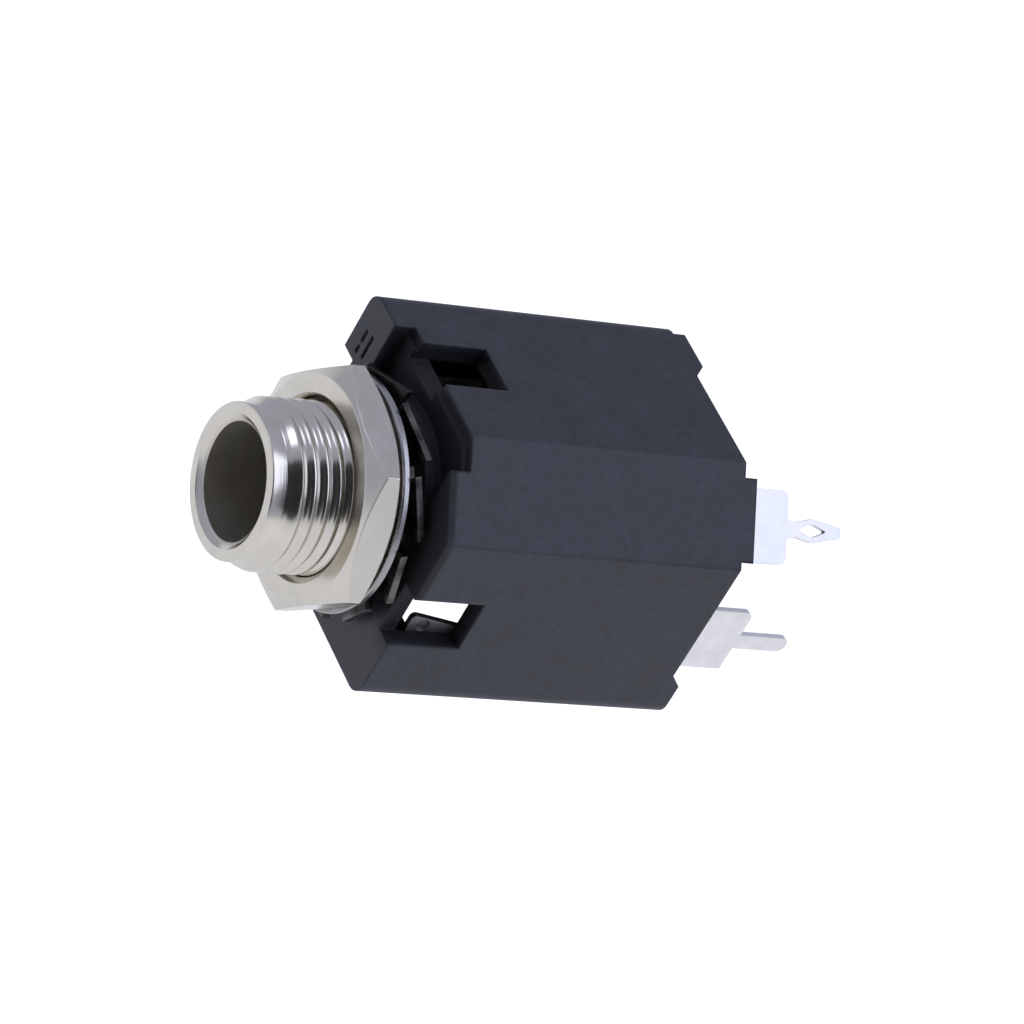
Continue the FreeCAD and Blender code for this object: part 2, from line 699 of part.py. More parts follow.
def make_lock_washer():
    """A flat ring with twisted teeth round its outside."""
    body = new_body("lock_washer")
    ring = across_nose(body, "ring", -d.lock_thick / 2)
    circle(ring, 0, 0, d.lock_root)
    circle(ring, 0, 0, washer_hole)
    pad(body, "disc", ring, d.lock_thick, reverse=True)
    root = new_sketch(body, "tooth_root", "YZ_Plane", d.lock_root - d.lock_thick)
    tip = new_sketch(body, "tooth_tip", "YZ_Plane", d.lock_tip)
    tip.setExpression("AttachmentOffset.Rotation.Angle", d.lock_twist.text)
    across = d.lock_width / 2
    thick = d.lock_thick / 2
    root_thick = thick * TOOTH_ROOT_THICKNESS
    root_across = across * TOOTH_ROOT_WIDTH
    box_outline(root, -root_thick, -root_across, root_thick, root_across)
    box_outline(tip, -thick, -across, thick, across)
    tooth = body.newObject("PartDesign::AdditiveLoft", "tooth")
    tooth.Profile = root
    tooth.Sections = [tip]
    tooth.Ruled = True
    document.recompute()
    pattern = body.newObject("PartDesign::PolarPattern", "teeth")
    pattern.Originals = [tooth]
    axis = [item for item in body.Origin.OriginFeatures if item.Role == "Y_Axis"][0]
    pattern.Axis = (axis, [""])
    pattern.Angle = 360
    pattern.Occurrences = TOOTH_COUNT
    body.Tip = pattern
    body.setExpression("Placement.Base.y", (-d.lock_place).text)
    return body


# Contacts, each modelled as if its terminal lay against the +X wall

# Rounding of the pins' ends as a share of their half width, and the dimple's share of the sheet
PIN_ROUND = 0.99
DIMPLE_SHARE = 0.4


def terminal_corners(low, high, pin_middle):
    """The terminal's back end with a plain round-ended board pin."""
    end = d.pin_shoulder + d.pin_length
    tip = d.pin_half * PIN_ROUND
    return [
        (d.pin_shoulder, low), (d.pin_shoulder, pin_middle - d.pin_half),
        (end, pin_middle - d.pin_half, tip), (end, pin_middle + d.pin_half, tip),
        (d.pin_shoulder, pin_middle + d.pin_half), (d.pin_shoulder, high, d.blade_round)]


def sheet_piece(body, name, corners):
    sketch = new_sketch(body, name + "_outline", "YZ_Plane", sheet_inner)
    outline(sketch, corners)
    return pad(body, name, sketch, d.sheet)


def spring_arm(body, name, corners, middle, half_width):
    """A strip bent along the corners, which lie in the X and Y plane."""
    route = new_sketch(body, name + "_route", "XY_Plane", middle)
    outline(route, corners, closed=False)
    strip = new_sketch(body, name + "_section", "XZ_Plane", -corners[0][1])
    x = corners[0][0]
    reach = d.sheet / 2
    box_outline(strip, x - reach, middle - half_width, x + reach, middle + half_width)
    arm = body.newObject("PartDesign::AdditivePipe", name)
    arm.Profile = strip
    arm.Spine = route
    document.recompute()
    return arm


def side_arm(body, bend, touch, way):
    """The plain arm of a side contact, bent in from the wall and out again at its end."""
    flat = inner_half - d.sheet / 2
    spring_arm(body, "arm", [
        (flat, bend - d.root_length * way), (flat, bend, d.arm_root), (d.touch_radius, touch, d.arm_nose),
        (d.lift_radius, touch + d.lift_length * way)],
        -(d.arm_near + d.arm_far) / 2, (d.arm_far - d.arm_near) / 2)


def make_sleeve_contact():
    body = new_body("sleeve_contact")
    sheet_piece(body, "blade", [
        (d.sleeve_front, -d.sleeve_leaf_far, d.leaf_round), (d.sleeve_wide, -d.sleeve_far)]
        + terminal_corners(-d.sleeve_far, -d.sleeve_near, -d.sleeve_pin) + [
            (d.sleeve_bend + d.arm_root, -d.sleeve_near), (d.sleeve_bend + d.arm_root, -d.sleeve_tail),
            (d.sleeve_wide, -d.sleeve_tail), (d.sleeve_front, -d.sleeve_leaf_near, d.leaf_round)])
    side_arm(body, d.sleeve_bend, d.sleeve_touch, -1)
    dimple = new_sketch(body, "dimple_outline", "YZ_Plane", inner_half)
    circle(dimple, d.dimple_place, -d.dimple_low, d.dimple_radius)
    pocket(body, "dimple", dimple, d.sheet * DIMPLE_SHARE, reverse=True)
    return body


def make_ring_contact():
    body = new_body("ring_contact")
    window_front = d.ring_bend - d.arm_root
    window_low = -d.arm_far - d.arm_gap
    window_high = d.arm_gap - d.arm_near
    sheet_piece(body, "blade", [
        (d.ring_front, -d.ring_over, d.leaf_round), (d.ring_back, -d.ring_over, d.leaf_round),
        (d.ring_back, window_low), (window_front, window_low), (window_front, window_high),
        (d.ring_back, window_high), (d.ring_back, size(0))]
        + terminal_corners(size(0), d.ring_far, d.ring_pin) + [(d.ring_front, d.ring_far, d.leaf_round)])
    side_arm(body, d.ring_bend, d.ring_touch, 1)
    body.Placement = FreeCAD.Placement(FreeCAD.Vector(), FreeCAD.Rotation(FreeCAD.Vector(0, 1, 0), 180))
    return body


def make_tip_contact():
    """The terminal has a springy eyed board pin, and the arm folds back at the front."""
    body = new_body("tip_contact")
    low, high, middle = -d.tip_far, d.tip_near, -d.tip_pin
    end = d.pin_shoulder + d.pin_length + d.eyed_longer
    neck = d.pin_shoulder + d.eyed_neck_place
    eye_place = d.pin_shoulder + d.eyed_place
    front = d.tip_fold + d.root_length
    fine = d.edge_round
    sheet_piece(body, "blade", [
        (front, -d.tip_arm_half), (d.tip_grow, -d.tip_arm_half, d.blade_round),
        (d.tip_wide, low, d.blade_round), (d.pin_shoulder, low, d.blade_round),
        (d.pin_shoulder, middle - d.pin_half, fine), (neck, middle - d.eyed_neck, d.leaf_round),
        (eye_place, middle - d.eyed_half, d.blade_round), (end, middle - d.eyed_end, fine),
        (end, middle + d.eyed_end, fine), (eye_place, middle + d.eyed_half, d.blade_round),
        (neck, middle + d.eyed_neck, d.leaf_round), (d.pin_shoulder, middle + d.pin_half, fine),
        (d.pin_shoulder, high, d.blade_round), (d.tip_wide, high, d.blade_round),
        (d.tip_grow, d.tip_arm_half, d.blade_round), (front, d.tip_arm_half)])
    eye = new_sketch(body, "eye_outline", "YZ_Plane", inner_half)
    point, side = d.edge_round * 0.4, d.eye_half * 2
    outline(eye, [
        (eye_place - d.eye_reach, middle, point), (eye_place, middle - d.eye_half, side),
        (eye_place + d.eye_reach, middle, point), (eye_place, middle + d.eye_half, side)])
    pocket(body, "eye", eye, d.sheet * 2, reverse=True)
    flat = inner_half - d.sheet / 2
    folded = flat - d.tip_fold_depth
    # The hollow's wall is nearer on the cut-off side, so the piece moves out after its turn.
    reach = cut_reach - half
    spring_arm(body, "arm", [
        (flat, front + d.arm_run), (flat, d.tip_fold, d.tip_fold_round),
        (folded, d.tip_fold, d.tip_fold_round), (folded, d.tip_dip, d.arm_nose * 2),
        (d.touch_radius - reach, d.tip_touch, d.arm_nose),
        (d.lift_radius - reach, d.tip_touch + d.lift_length)], size(0), d.tip_arm_half)
    body.Placement = FreeCAD.Placement(FreeCAD.Vector(), FreeCAD.Rotation(FreeCAD.Vector(0, 1, 0), -45))
    body.setExpression("Placement.Base.x", (reach * ROOT_HALF).text)
    body.setExpression("Placement.Base.z", (reach * ROOT_HALF).text)
    return body


pieces = [
    make_housing(), make_insert(), make_nose(), make_nut(), make_flat_washer(), make_lock_washer(),
    make_tip_contact(), make_sleeve_contact(), make_ring_contact()]

document.recompute()
for item in document.Objects:
    if "Invalid" in item.State or "Error" in item.State:
        raise RuntimeError("%s did not compute: %s" % (item.Name, item.State))

os.makedirs("parts", exist_ok=True)
for piece in pieces:
    shape = piece.Shape
    if shape.isNull() or not shape.isValid() or len(shape.Solids) != 1:
        raise RuntimeError("%s is not one sound solid" % piece.Label)
    shape.exportStep("parts/%s.step" % piece.Label)
    print("%-16s %9.3f mm3  %s" % (piece.Label, shape.Volume, shape.BoundBox))
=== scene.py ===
import math

import bmesh
import bpy
from mathutils import Matrix, Vector


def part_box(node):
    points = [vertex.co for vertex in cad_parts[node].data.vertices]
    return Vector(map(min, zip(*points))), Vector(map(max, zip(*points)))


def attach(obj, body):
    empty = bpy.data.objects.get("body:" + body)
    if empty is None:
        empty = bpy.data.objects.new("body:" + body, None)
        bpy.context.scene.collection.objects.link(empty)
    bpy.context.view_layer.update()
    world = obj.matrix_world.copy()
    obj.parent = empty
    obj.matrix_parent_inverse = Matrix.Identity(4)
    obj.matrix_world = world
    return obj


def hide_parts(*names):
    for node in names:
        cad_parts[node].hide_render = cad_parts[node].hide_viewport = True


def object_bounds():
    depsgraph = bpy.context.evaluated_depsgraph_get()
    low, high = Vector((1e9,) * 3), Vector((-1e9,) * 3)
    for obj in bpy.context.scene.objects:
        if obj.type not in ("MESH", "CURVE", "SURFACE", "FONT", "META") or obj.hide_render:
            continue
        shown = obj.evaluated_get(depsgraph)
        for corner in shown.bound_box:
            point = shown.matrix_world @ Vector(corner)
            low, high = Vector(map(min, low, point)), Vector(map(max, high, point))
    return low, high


bl_info = {
    "name": "Jack Socket Dress",
    "version": (1, 0, 0),
    "blender": (4, 5, 0),
    "location": "View3D > Sidebar > Jack Socket",
    "description": "Threaded nose, finishes and studio for a panel jack socket",
    "category": "Object",
}

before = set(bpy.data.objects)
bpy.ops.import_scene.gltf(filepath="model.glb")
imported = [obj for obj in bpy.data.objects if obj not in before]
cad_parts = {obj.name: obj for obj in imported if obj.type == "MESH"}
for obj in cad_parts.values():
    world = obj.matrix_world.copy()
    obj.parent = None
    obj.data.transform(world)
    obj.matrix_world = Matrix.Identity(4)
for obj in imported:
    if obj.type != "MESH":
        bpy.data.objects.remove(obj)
CAD_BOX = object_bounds()
MILLIMETRE = 0.001

# Nose
NOSE_STEPS = 128
# How far the middle corner of a rounded edge stays from both faces, as a share of the rounding
MIDDLE_CORNER = 0.3
# Radius of the plain neck behind the thread, as a share of the crest's
NECK_SHARE = 0.999
# Faces that meet at less than this many degrees are shaded as one
SMOOTH_ANGLE = 35

# Thread: steps in a turn, and steps across its ridge
TURN_STEPS = 80
RIDGE_STEPS = 12
# Part of the pitch that one ridge fills, so that the edges of neighbouring turns stay apart
RIDGE_SHARE = 0.998
# The core lies under the groove, and the ridge's root under the core's surface
CORE_SUNK = 0.03 * MILLIMETRE
ROOT_SUNK = 0.02 * MILLIMETRE
# The ridge's first end lies this far under the slope, and comes up within these steps
RIDGE_SUNK = 0.07 * MILLIMETRE
RISING_STEPS = 4
# Turns in which the groove comes to its full depth
GROOVE_RUN_IN = 0.4
# Steps from the start in which the front half of the ridge is kept behind the slope
SLOPE_STEPS = TURN_STEPS + 2.5

# Places in the finishes, in millimetres: the housing's half width, the sum of x and z on the
# face of its cut corner, and the y where the contacts come out of it
HALF_WIDTH = CAD_BOX[1][0] / MILLIMETRE
CUT_PLANE = 11.5
TERMINAL_START = 19.0
# Ramps run from 0 to 1, so longer lengths are scaled down for them
RAMP_SCALE = 0.1


# Shader nodes

class Wire:
    """One socket of a material, with arithmetic."""

    def __init__(self, shade, socket):
        self.shade = shade
        self.socket = socket

    def maths(self, operation, *others):
        inputs = dict(enumerate((self,) + others))
        return self.shade.node("ShaderNodeMath", {"operation": operation}, inputs)

    def __add__(self, other):
        return self.maths("ADD", other)

    def __sub__(self, other):
        return self.maths("SUBTRACT", other)

    def __rsub__(self, other):
        return self * -1 + other

    def __mul__(self, other):
        return self.maths("MULTIPLY", other)

    def __pow__(self, other):
        return self.maths("POWER", other)


class Shade:
    """A material with one principled surface."""

    def __init__(self, name):
        self.material = bpy.data.materials.new(name)
        self.material.use_nodes = True
        self.tree = self.material.node_tree
        self.tree.nodes.clear()
        self.surface = self.tree.nodes.new("ShaderNodeBsdfPrincipled")
        output = self.tree.nodes.new("ShaderNodeOutputMaterial")
        self.tree.links.new(self.surface.outputs[0], output.inputs["Surface"])

    def node(self, kind, settings=None, inputs=None, output=0):
        node = self.tree.nodes.new(kind)
        for name, value in (settings or {}).items():
            setattr(node, name, value)
        for name, value in (inputs or {}).items():
            self.feed(node.inputs[name], value)
        return Wire(self, node.outputs[output])

    def feed(self, socket, value):
        if isinstance(value, Wire):
            self.tree.links.new(value.socket, socket)
        else:
            socket.default_value = value

    def set(self, **inputs):
        """Feeds the surface's sockets, named with underscores for spaces."""
        for name, value in inputs.items():
            self.feed(self.surface.inputs[name.replace("_", " ")], value)

    def place(self):
        """Object coordinates in millimetres."""
        spot = self.node("ShaderNodeTexCoord", output="Object")
        return self.stretched(spot, (1 / MILLIMETRE,) * 3)

    def stretched(self, place, scale, turn=(0, 0, 0)):
        return self.node(
            "ShaderNodeMapping", {}, {"Vector": place, "Scale": scale, "Rotation": turn})

    def noise(self, place, scale, detail, roughness):
        return self.node("ShaderNodeTexNoise", {}, {
            "Vector": place, "Scale": scale, "Detail": detail, "Roughness": roughness})

    def ramp(self, value, first, last):
        """A grey ramp between two stops of (position, level)."""
        wire = self.node("ShaderNodeValToRGB", {}, {"Fac": value})
        for stop, (position, grey) in zip(wire.socket.node.color_ramp.elements, (first, last)):
            stop.position = position
            stop.color = (grey, grey, grey, 1)
        return wire

    def tint(self, factor, first, second):
        """Mixes two colours."""
        return self.node(
            "ShaderNodeMix", {"data_type": "RGBA"},
            {0: factor, 6: tuple(first) + (1,), 7: tuple(second) + (1,)}, output=2)

    def parts(self, place):
        """Distance across, along and up."""
        split = self.node("ShaderNodeSeparateXYZ", {}, {0: place}).socket.node
        return [Wire(self, socket) for socket in split.outputs]

    def vector(self, x, y, z):
        return self.node("ShaderNodeCombineXYZ", {}, {0: x, 1: y, 2: z})

    def relief(self, height, depth, edge):
        """Normal of a surface with this height in millimetres and softly worn edges."""
        worn = self.node("ShaderNodeBevel", {"samples": 6}, {"Radius": edge * MILLIMETRE})
        return self.node("ShaderNodeBump", {}, {
            "Height": height, "Strength": 1.0, "Distance": depth * MILLIMETRE, "Normal": worn})


# What a user may change

def length(name, description, default):
    return bpy.props.FloatProperty(
        name=name, description=description, default=default * MILLIMETRE, unit="LENGTH",
        precision=6)


def colour(name, description, default):
    return bpy.props.FloatVectorProperty(
        name=name, description=description, default=default, size=3, min=0, max=1, subtype="COLOR")


def level(name, description, default):
    return bpy.props.FloatProperty(name=name, description=description, default=default, min=0)


class SocketSizes(bpy.types.PropertyGroup):
    crest: length("Thread radius", "Radius over the crests of the nose thread", 4.75)
    depth: length("Thread depth", "Height of the thread's turns", 0.28)
    stop: length("Thread end", "End of the thread in front of the housing", 0.35)
    pitch: length("Thread pitch", "Distance from one turn to the next", 0.79375)
    lead: length("Lead", "Radius of the plain lead in front of the thread", 4.3)
    lead_length: length("Lead length", "Plain lead in front of the thread", 0.9)
    slope: level("Lead slope", "Length of the slope behind the lead for its height", 1.4826)
    bore: length("Plug hole", "Radius of the plug hole", 3.25)
    mouth: length("Mouth", "Radius of the dished mouth", 3.62)
    mouth_depth: length("Mouth depth", "Depth of the dished mouth", 0.3)
    flange: length("Flange", "Radius of the flange behind the housing's front wall", 5.4)
    flange_length: length("Flange thickness", "Flange along the nose", 0.9)
    edge: length("Edge", "Small rounding of turned edges", 0.12)


class SocketColours(bpy.types.PropertyGroup):
    housing: colour("Housing", "Moulded housing", (0.0178, 0.0188, 0.0245))
    insert: colour("Insert", "Moulded rear insert", (0.008, 0.008, 0.009))
    nickel: colour("Nickel", "Plating of the nose and the nut", (0.65, 0.615, 0.538))
    dull_nickel: colour("Dull nickel", "Plating of the flat washer", (0.36, 0.35, 0.34))
    # Nickel plating of the lock washer, darkened with painted shade for its place behind the flat
    # washer and nut
    shaded_lock_nickel: colour("Dark nickel", "Plating of the lock washer", (0.14, 0.133, 0.122))
    tin: colour("Tin", "Plating of the contacts", (0.83, 0.815, 0.785))
    grain: level("Grain", "Depth of the moulded grain in millimetres", 0.02)


def sizes():
    return bpy.context.scene.socket_sizes


def colours():
    return bpy.context.scene.socket_colours


def finish_node(name, shade):
    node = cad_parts[name]
    node.data.materials.clear()
    node.data.materials.append(shade.material)


# Pieces

def new_piece(name, mesh, shade, body):
    data = bpy.data.meshes.new(name)
    mesh.to_mesh(data)
    mesh.free()
    piece = bpy.data.objects.new(name, data)
    bpy.context.scene.collection.objects.link(piece)
    data.materials.append(shade.material)
    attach(piece, body)
    return piece


def spun(mesh, corners, steps):
    """A closed profile of (radius, y) turned once about the nose axis."""
    verts = [mesh.verts.new((radius, y, 0)) for radius, y in corners]
    edges = [mesh.edges.new((verts[index - 1], verts[index])) for index in range(len(verts))]
    bmesh.ops.spin(
        mesh, geom=verts + edges, cent=(0, 0, 0), axis=(0, 1, 0), dvec=(0, 0, 0),
        angle=2 * math.pi, steps=steps, use_merge=True)


def smooth_by_angle(piece, degrees):
    for face in piece.data.polygons:
        face.use_smooth = True
    piece.data.set_sharp_from_angle(angle=math.radians(degrees))


class OBJECT_OT_socket_nose(bpy.types.Operator):
    """Turned nose with a running thread, in place of the plain one"""
    bl_idname = "object.socket_nose"
    bl_label = "Threaded Nose"

    def execute(self, context):
        s = sizes()
        low, high = (corner.y for corner in map(Vector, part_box("nose_bush")))
        inner = s.crest - s.depth - CORE_SUNK
        neck = s.crest * NECK_SHARE
        seat = high - s.flange_length
        edge = s.edge
        corner = edge * MIDDLE_CORNER
        start = low + s.lead_length
        mesh = bmesh.new()
        spun(mesh, [
            (s.bore, low + s.mouth_depth), (s.mouth, low + corner), (s.mouth + corner, low),
            (s.lead - edge, low), (s.lead - corner, low + corner), (s.lead, low + edge),
            (s.lead, start), (inner, start + (inner - s.lead) * s.slope), (inner, -s.stop),
            (neck, -s.stop), (neck, seat), (s.flange, seat), (s.flange, high),
            (s.bore + edge, high), (s.bore, high - edge)], NOSE_STEPS)
        self.add_thread(mesh, inner, start)
        bmesh.ops.recalc_face_normals(mesh, faces=mesh.faces)
        finish = nickel("nose_nickel", roughness=0.15, edge=0.05)
        piece = new_piece("threaded_nose", mesh, finish, "socket")
        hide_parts("nose_bush")
        smooth_by_angle(piece, SMOOTH_ANGLE)
        return {"FINISHED"}

    def add_thread(self, mesh, inner, start):
        """One rounded ridge wound from the lead's slope to the neck."""
        s = sizes()
        turns = math.floor((-s.stop - start) / s.pitch)
        width = s.pitch * RIDGE_SHARE
        section = [(inner - ROOT_SUNK, width * side) for side in (0.5, -0.5)]
        for step in range(RIDGE_STEPS + 1):
            share = step / RIDGE_STEPS - 0.5
            rise = (1 + math.cos(2 * math.pi * share)) / 2
            section.append((s.crest - s.depth * (1 - rise), width * share))
        before = set(mesh.verts)
        face = mesh.faces.new([mesh.verts.new((radius, start + y, 0)) for radius, y in section])
        bmesh.ops.spin(
            mesh, geom=[face], cent=(0, 0, 0), axis=(0, 1, 0),
            dvec=(0, s.pitch / TURN_STEPS, 0), angle=2 * math.pi * turns,
            steps=TURN_STEPS * turns)
        for vert in set(mesh.verts) - before:
            self.run_in(vert.co, start, inner)

    def run_in(self, place, start, inner):
        """Moves a corner of the ridge: the groove deepens slowly and nothing passes the slope."""
        s = sizes()
        # Place along the thread in turns, and across the ridge as a share of the pitch
        turned = math.atan2(-place.z, place.x) / (2 * math.pi) % 1 if place.z else 0.0
        share = (place.y - start) / s.pitch - turned
        turn = math.floor(share + 0.5)
        share -= turn
        wound = turn + turned
        # The groove in front of a ridge is one turn younger than the ridge
        groove = wound - (share < 0)
        reach = math.hypot(place.x, place.z)
        target = reach
        if reach > inner:
            depth = min(max(groove / GROOVE_RUN_IN, 0.0), 1.0)
            target = s.crest - (s.crest - reach) * depth
        steps = wound * TURN_STEPS
        if steps < SLOPE_STEPS and share < 0:
            place.y = min(place.y, start + (share * 2 + 1) * wound * s.pitch)
        target = min(target, s.lead + (place.y - start) / s.slope)
        target -= RIDGE_SUNK * max(1 - steps / RISING_STEPS, 0) ** 2
        place.x *= target / reach
        place.z *= target / reach


# Finishes

BLACK = (0.0, 0.0, 0.0)
CLOUD_RAMP = ((0.35, 0.0), (0.65, 1.0))
RINGS_IN_MILLIMETRE = 14
# Height of rings and scratches in millimetres
METAL_RELIEF = 0.004
# Painted shade: brightness of the contacts' colour inside the housing, as a share of that outside
INSIDE_SHADE_SHARE = 0.35


def axis_reach(across, up):
    """Distance from the nose axis."""
    return (across * across + up * up) ** 0.5


def painted_hollow_shade(shade, place):
    """Painted shade mask: 0 on the housing's outer faces and 1 deep below them, where shade falls
    in the recesses, and behind the washers, where it paints their shadow.
    """
    across, along, up = shade.parts(place)
    far_across, far_up = across.maths("ABSOLUTE"), up.maths("ABSOLUTE")
    sloped = (CUT_PLANE - (across + up)) * math.sqrt(0.5)
    depth = (HALF_WIDTH - far_across).maths("MINIMUM", HALF_WIDTH - far_up)
    depth = depth.maths("MINIMUM", sloped).maths("MINIMUM", along)
    # Painted shadow of the nut and washers: a strip on the front of the cut corner near the nose
    near_nose = shade.ramp(axis_reach(across, up) * RAMP_SCALE, (0.84, 1.0), (0.94, 0.0))
    in_front = shade.ramp(along, (0.35, 1.0), (0.62, 0.0))
    at_cut_corner = shade.ramp((across + up) * RAMP_SCALE, (0.2, 0.0), (0.5, 1.0))
    # Painted shade in the recesses, fading in from 0.05 mm to 0.5 mm below the outer faces
    deep = shade.ramp(depth, (0.05, 0.0), (0.5, 1.0))
    return deep.maths("MAXIMUM", near_nose * in_front * at_cut_corner)


def moulded(name, base, grain):
    """Fine moulded grain with a slightly uneven gloss, darker in the hollows and behind the
    washers with painted shade.
    """
    shade = Shade(name)
    place = shade.place()
    fine = shade.noise(place, scale=9.0, detail=4.0, roughness=0.65)
    broad = shade.noise(place, scale=0.45, detail=3.0, roughness=0.5)
    patch = shade.noise(place, scale=2.2, detail=4.0, roughness=0.6)
    lighter = tuple(channel * 1.5 + 0.003 for channel in base)
    mottle = shade.ramp(broad * 0.3 + patch * 0.35 + fine * 0.35, (0.41, 0.0), (0.59, 1.0))
    hollow_shade = painted_hollow_shade(shade, place)
    # Mottled grain, darkened by the painted shade of the hollows and the painted shadow of the
    # washers
    mottle_and_shade = (mottle * 0.62 + 0.38) * (1 - hollow_shade * 0.78)
    shade.set(
        Base_Color=shade.tint(mottle_and_shade, BLACK, lighter),
        Specular_IOR_Level=0.45,
        Roughness=broad * 0.16 + fine * 0.12 + patch * 0.1 + hollow_shade * 0.2 + 0.3,
        Normal=shade.relief(fine * 0.6 + patch * 0.4, grain, edge=0.25))
    return shade


def nickel(name, roughness, edge):
    """Turned and plated metal: fine rings round the nose axis, dull inside the plug hole."""
    shade = Shade(name)
    place = shade.place()
    across, along, up = shade.parts(place)
    reach = axis_reach(across, up)
    turned = shade.vector(reach * RINGS_IN_MILLIMETRE, along * RINGS_IN_MILLIMETRE, 0.0)
    rings = shade.noise(turned, scale=1.0, detail=3.0, roughness=0.6)
    cloud = shade.noise(place, scale=0.8, detail=3.0, roughness=0.5)
    in_hole = shade.ramp(reach * RAMP_SCALE, (0.335, 0.28), (0.345, 0.0))
    base = colours().nickel
    darker = tuple(channel * 0.93 for channel in base)
    shade.set(
        Base_Color=shade.tint(shade.ramp(cloud, *CLOUD_RAMP), darker, base),
        Metallic=1.0,
        Roughness=cloud * 0.1 + rings * 0.08 + in_hole + (roughness - 0.06),
        Normal=shade.relief(rings, METAL_RELIEF, edge))
    return shade


def stamped(name, base, roughness, unshaded_from=None, patches=0.1):
    """Stamped sheet: short scratches and a painted patchy sheen, darker with painted shade in
    front of unshaded_from.

    Here patches is how much darker the dark places of the painted sheen are, as a share of the
    base colour.
    """
    shade = Shade(name)
    place = shade.place()
    streaks = shade.stretched(place, (1.0, 6.0, 14.0), turn=(0.4, 0.2, 0.3))
    scratch = shade.noise(streaks, scale=1.6, detail=4.0, roughness=0.6)
    cloud = shade.noise(place, scale=0.9, detail=3.0, roughness=0.5)
    sheen = shade.ramp(cloud, *CLOUD_RAMP) * patches + (1 - patches)
    if unshaded_from is not None:
        # Painted shade on the part in front of the given y, inside the housing
        outside = shade.ramp(shade.parts(place)[1] - unshaded_from, (0.0, 0.0), (1.0, 1.0))
        sheen = sheen * (outside * (1 - INSIDE_SHADE_SHARE) + INSIDE_SHADE_SHARE)
    shade.set(
        Base_Color=shade.tint(sheen, BLACK, base),
        Metallic=1.0,
        Roughness=cloud * 0.12 + scratch * 0.12 + (roughness - 0.1),
        Normal=shade.relief(scratch, METAL_RELIEF, edge=0.05))
    return shade


class OBJECT_OT_socket_plastic(bpy.types.Operator):
    """Moulded finish of the housing and the rear insert"""
    bl_idname = "object.socket_plastic"
    bl_label = "Moulded Plastic"

    def execute(self, context):
        c = colours()
        finish_node("housing", moulded("housing_plastic", tuple(c.housing), c.grain))
        finish_node("rear_insert", moulded("insert_plastic", tuple(c.insert), c.grain))
        return {"FINISHED"}


class OBJECT_OT_socket_plating(bpy.types.Operator):
    """Nickel on the nut and the washers"""
    bl_idname = "object.socket_plating"
    bl_label = "Nut and Washers"

    def execute(self, context):
        dull, dark = tuple(colours().dull_nickel), tuple(colours().shaded_lock_nickel)
        finish_node("hex_nut", nickel("nut_nickel", roughness=0.2, edge=0.1))
        finish_node("flat_washer", stamped("washer_nickel", dull, roughness=0.26))
        # The lock washer's plating is darkened with painted shade, and its large patches are a
        # painted sheen
        finish_node("lock_washer", stamped("lock_nickel", dark, roughness=0.3, patches=0.75))
        return {"FINISHED"}


class OBJECT_OT_socket_contacts(bpy.types.Operator):
    """Tin on the three contacts"""
    bl_idname = "object.socket_contacts"
    bl_label = "Contacts"

    def execute(self, context):
        base = tuple(colours().tin)
        # Painted shade darkens the tin inside the housing, in front of TERMINAL_START
        tin = stamped("contact_tin", base, roughness=0.46, unshaded_from=TERMINAL_START)
        for name in ("tip_contact", "sleeve_contact", "ring_contact"):
            finish_node(name, tin)
        return {"FINISHED"}


# Studio

CAMERA_PLACE = (0.18029, -0.15235, 0.15734)
CAMERA_RIGHT = (0.36274, 0.82502, 0.43331)
CAMERA_DOWN = (0.69283, 0.07221, -0.71748)
CAMERA_AHEAD = (-0.62323, 0.56047, -0.54540)
CAMERA_LENS = 184.73
CAMERA_NEAR = 0.01
# Name, place, size and power of each square lamp
LAMPS = (
    ("key_lamp", (0.225, 0.19, 0.40), 0.5, 1.0),
    ("edge_lamp", (-0.15, -0.225, 0.42), 0.18, 0.18))
LAMP_TARGET = (0, 0.006, 0)
LAMP_COLOUR = (0.89, 0.95, 1.22)
SKY_COLOUR = (0.89, 0.95, 1.2, 1)
SKY_STRENGTH = 0.5
FLOOR_SIZE = 4.0
FLOOR_COLOUR = (0.96, 0.93, 0.84)
FLOOR_GLOW = 0.5
# How bright the floor's glow is in reflections, as a share of what the camera sees
MIRRORED_SHARE = 0.5
FLOOR_DROP = 0.03
# The dark opening behind the camera: its distance from the nose, its size, and how far its
# middle lies below the camera's
OPENING_DISTANCE = 0.3
OPENING_SIZE = 0.4
OPENING_DROP = 0.03
OPENING_COLOUR = (0.02, 0.02, 0.02)


def add_lamp(name, place, size, power):
    data = bpy.data.lights.new(name, "AREA")
    data.color = LAMP_COLOUR
    data.size = size
    data.energy = power
    lamp = bpy.data.objects.new(name, data)
    bpy.context.scene.collection.objects.link(lamp)
    lamp.location = place
    aim = Vector(LAMP_TARGET) - Vector(place)
    lamp.rotation_euler = aim.to_track_quat("-Z", "Y").to_euler()


def plain_sheet(name, size, matrix, base):
    mesh = bmesh.new()
    bmesh.ops.create_grid(mesh, x_segments=1, y_segments=1, size=size / 2, matrix=matrix)
    data = bpy.data.meshes.new(name)
    mesh.to_mesh(data)
    mesh.free()
    sheet = bpy.data.objects.new(name, data)
    bpy.context.scene.collection.objects.link(sheet)
    shade = Shade(name)
    shade.set(Base_Color=base + (1,), Roughness=0.9)
    data.materials.append(shade.material)
    return shade


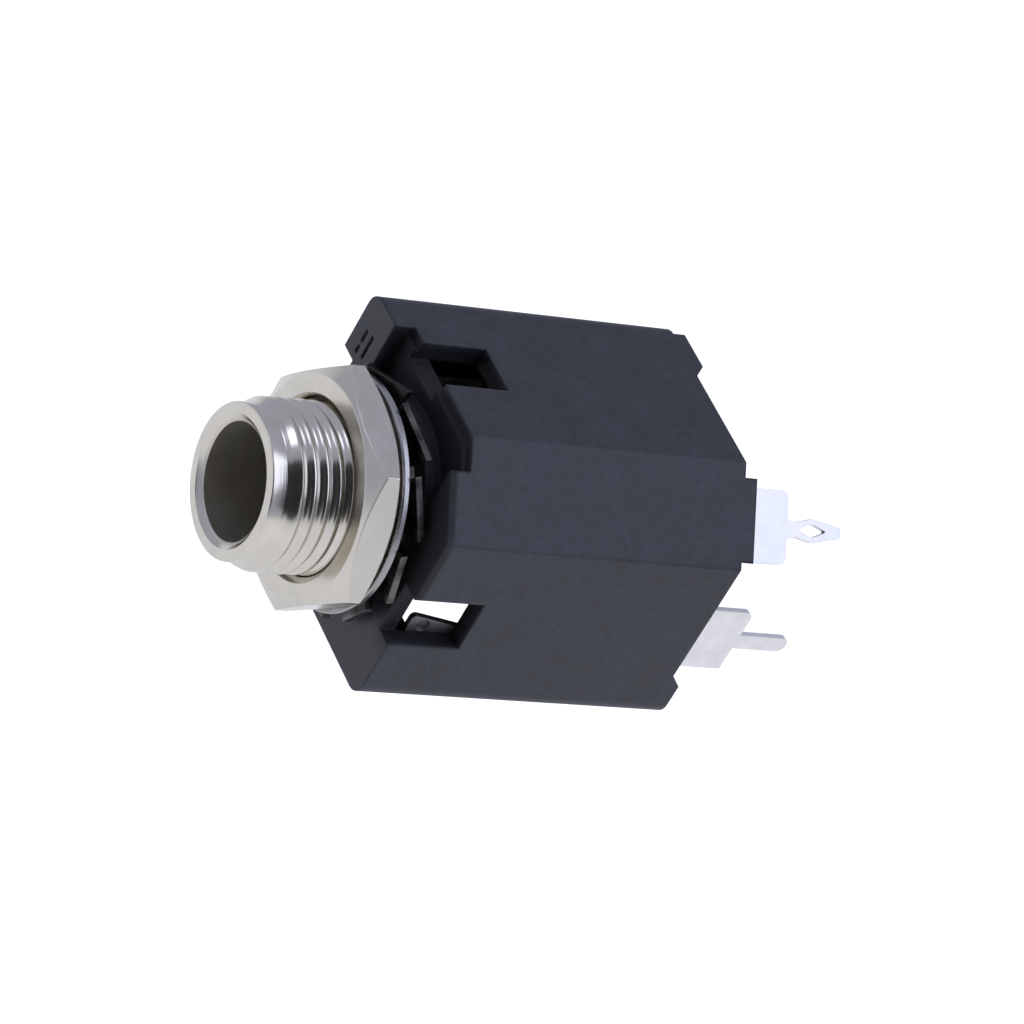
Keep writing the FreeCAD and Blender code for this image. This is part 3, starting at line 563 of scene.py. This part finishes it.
class OBJECT_OT_socket_studio(bpy.types.Operator):
    """White floor, soft lamps and the camera"""
    bl_idname = "object.socket_studio"
    bl_label = "Studio"

    def execute(self, context):
        scene = context.scene
        scene.view_settings.view_transform = "Standard"
        self.add_floor(CAD_BOX[0][2] - FLOOR_DROP)
        for lamp in LAMPS:
            add_lamp(*lamp)
        world = bpy.data.worlds.new("studio_light")
        scene.world = world
        world.use_nodes = True
        sky = world.node_tree.nodes["Background"]
        sky.inputs["Color"].default_value = SKY_COLOUR
        sky.inputs["Strength"].default_value = SKY_STRENGTH
        data = bpy.data.cameras.new("camera")
        data.lens = CAMERA_LENS
        data.clip_start = CAMERA_NEAR
        camera = bpy.data.objects.new("camera", data)
        scene.collection.objects.link(camera)
        right, down, ahead = Vector(CAMERA_RIGHT), Vector(CAMERA_DOWN), Vector(CAMERA_AHEAD)
        turn = Matrix((right, -down, -ahead)).transposed().to_4x4()
        camera.matrix_world = Matrix.Translation(CAMERA_PLACE) @ turn
        scene.camera = camera
        self.add_opening(turn)
        return {"FINISHED"}

    def add_floor(self, height):
        """White for the eye and in reflections, and still shaded by the socket."""
        matrix = Matrix.Translation((0, 0, height))
        floor = plain_sheet("floor", FLOOR_SIZE, matrix, FLOOR_COLOUR)
        path = floor.node("ShaderNodeLightPath")
        camera, glossy, through = (Wire(floor, path.socket.node.outputs[name]) for name in (
            "Is Camera Ray", "Is Glossy Ray", "Is Transmission Ray"))
        floor.set(
            Emission_Color=camera + (glossy + through) * MIRRORED_SHARE,
            Emission_Strength=FLOOR_GLOW)

    def add_opening(self, turn):
        """The dark opening round the camera, which shows only in the plated metal."""
        place = Vector(CAMERA_DOWN) * OPENING_DROP - Vector(CAMERA_AHEAD) * OPENING_DISTANCE
        matrix = Matrix.Translation(place) @ turn
        plain_sheet("dark_opening", OPENING_SIZE, matrix, OPENING_COLOUR)
        card = bpy.data.objects["dark_opening"]
        card.visible_camera = False
        card.visible_shadow = False
        card.visible_diffuse = False


STEPS = (
    OBJECT_OT_socket_plastic, OBJECT_OT_socket_nose, OBJECT_OT_socket_plating,
    OBJECT_OT_socket_contacts, OBJECT_OT_socket_studio)


class VIEW3D_PT_socket(bpy.types.Panel):
    """The steps that dress the socket"""
    bl_label = "Jack Socket"
    bl_space_type = "VIEW_3D"
    bl_region_type = "UI"
    bl_category = "Jack Socket"

    def draw(self, context):
        for step in STEPS:
            self.layout.operator(step.bl_idname)
        for group in (context.scene.socket_sizes, context.scene.socket_colours):
            column = self.layout.column()
            for name in group.__annotations__:
                column.prop(group, name)


CLASSES = (SocketSizes, SocketColours) + STEPS + (VIEW3D_PT_socket,)


def register():
    for item in CLASSES:
        bpy.utils.register_class(item)
    bpy.types.Scene.socket_sizes = bpy.props.PointerProperty(type=SocketSizes)
    bpy.types.Scene.socket_colours = bpy.props.PointerProperty(type=SocketColours)


def unregister():
    del bpy.types.Scene.socket_colours
    del bpy.types.Scene.socket_sizes
    for item in reversed(CLASSES):
        bpy.utils.unregister_class(item)


def main():
    register()
    for step in STEPS:
        category, name = step.bl_idname.split(".")
        getattr(getattr(bpy.ops, category), name)()


if __name__ == "__main__":
    main()
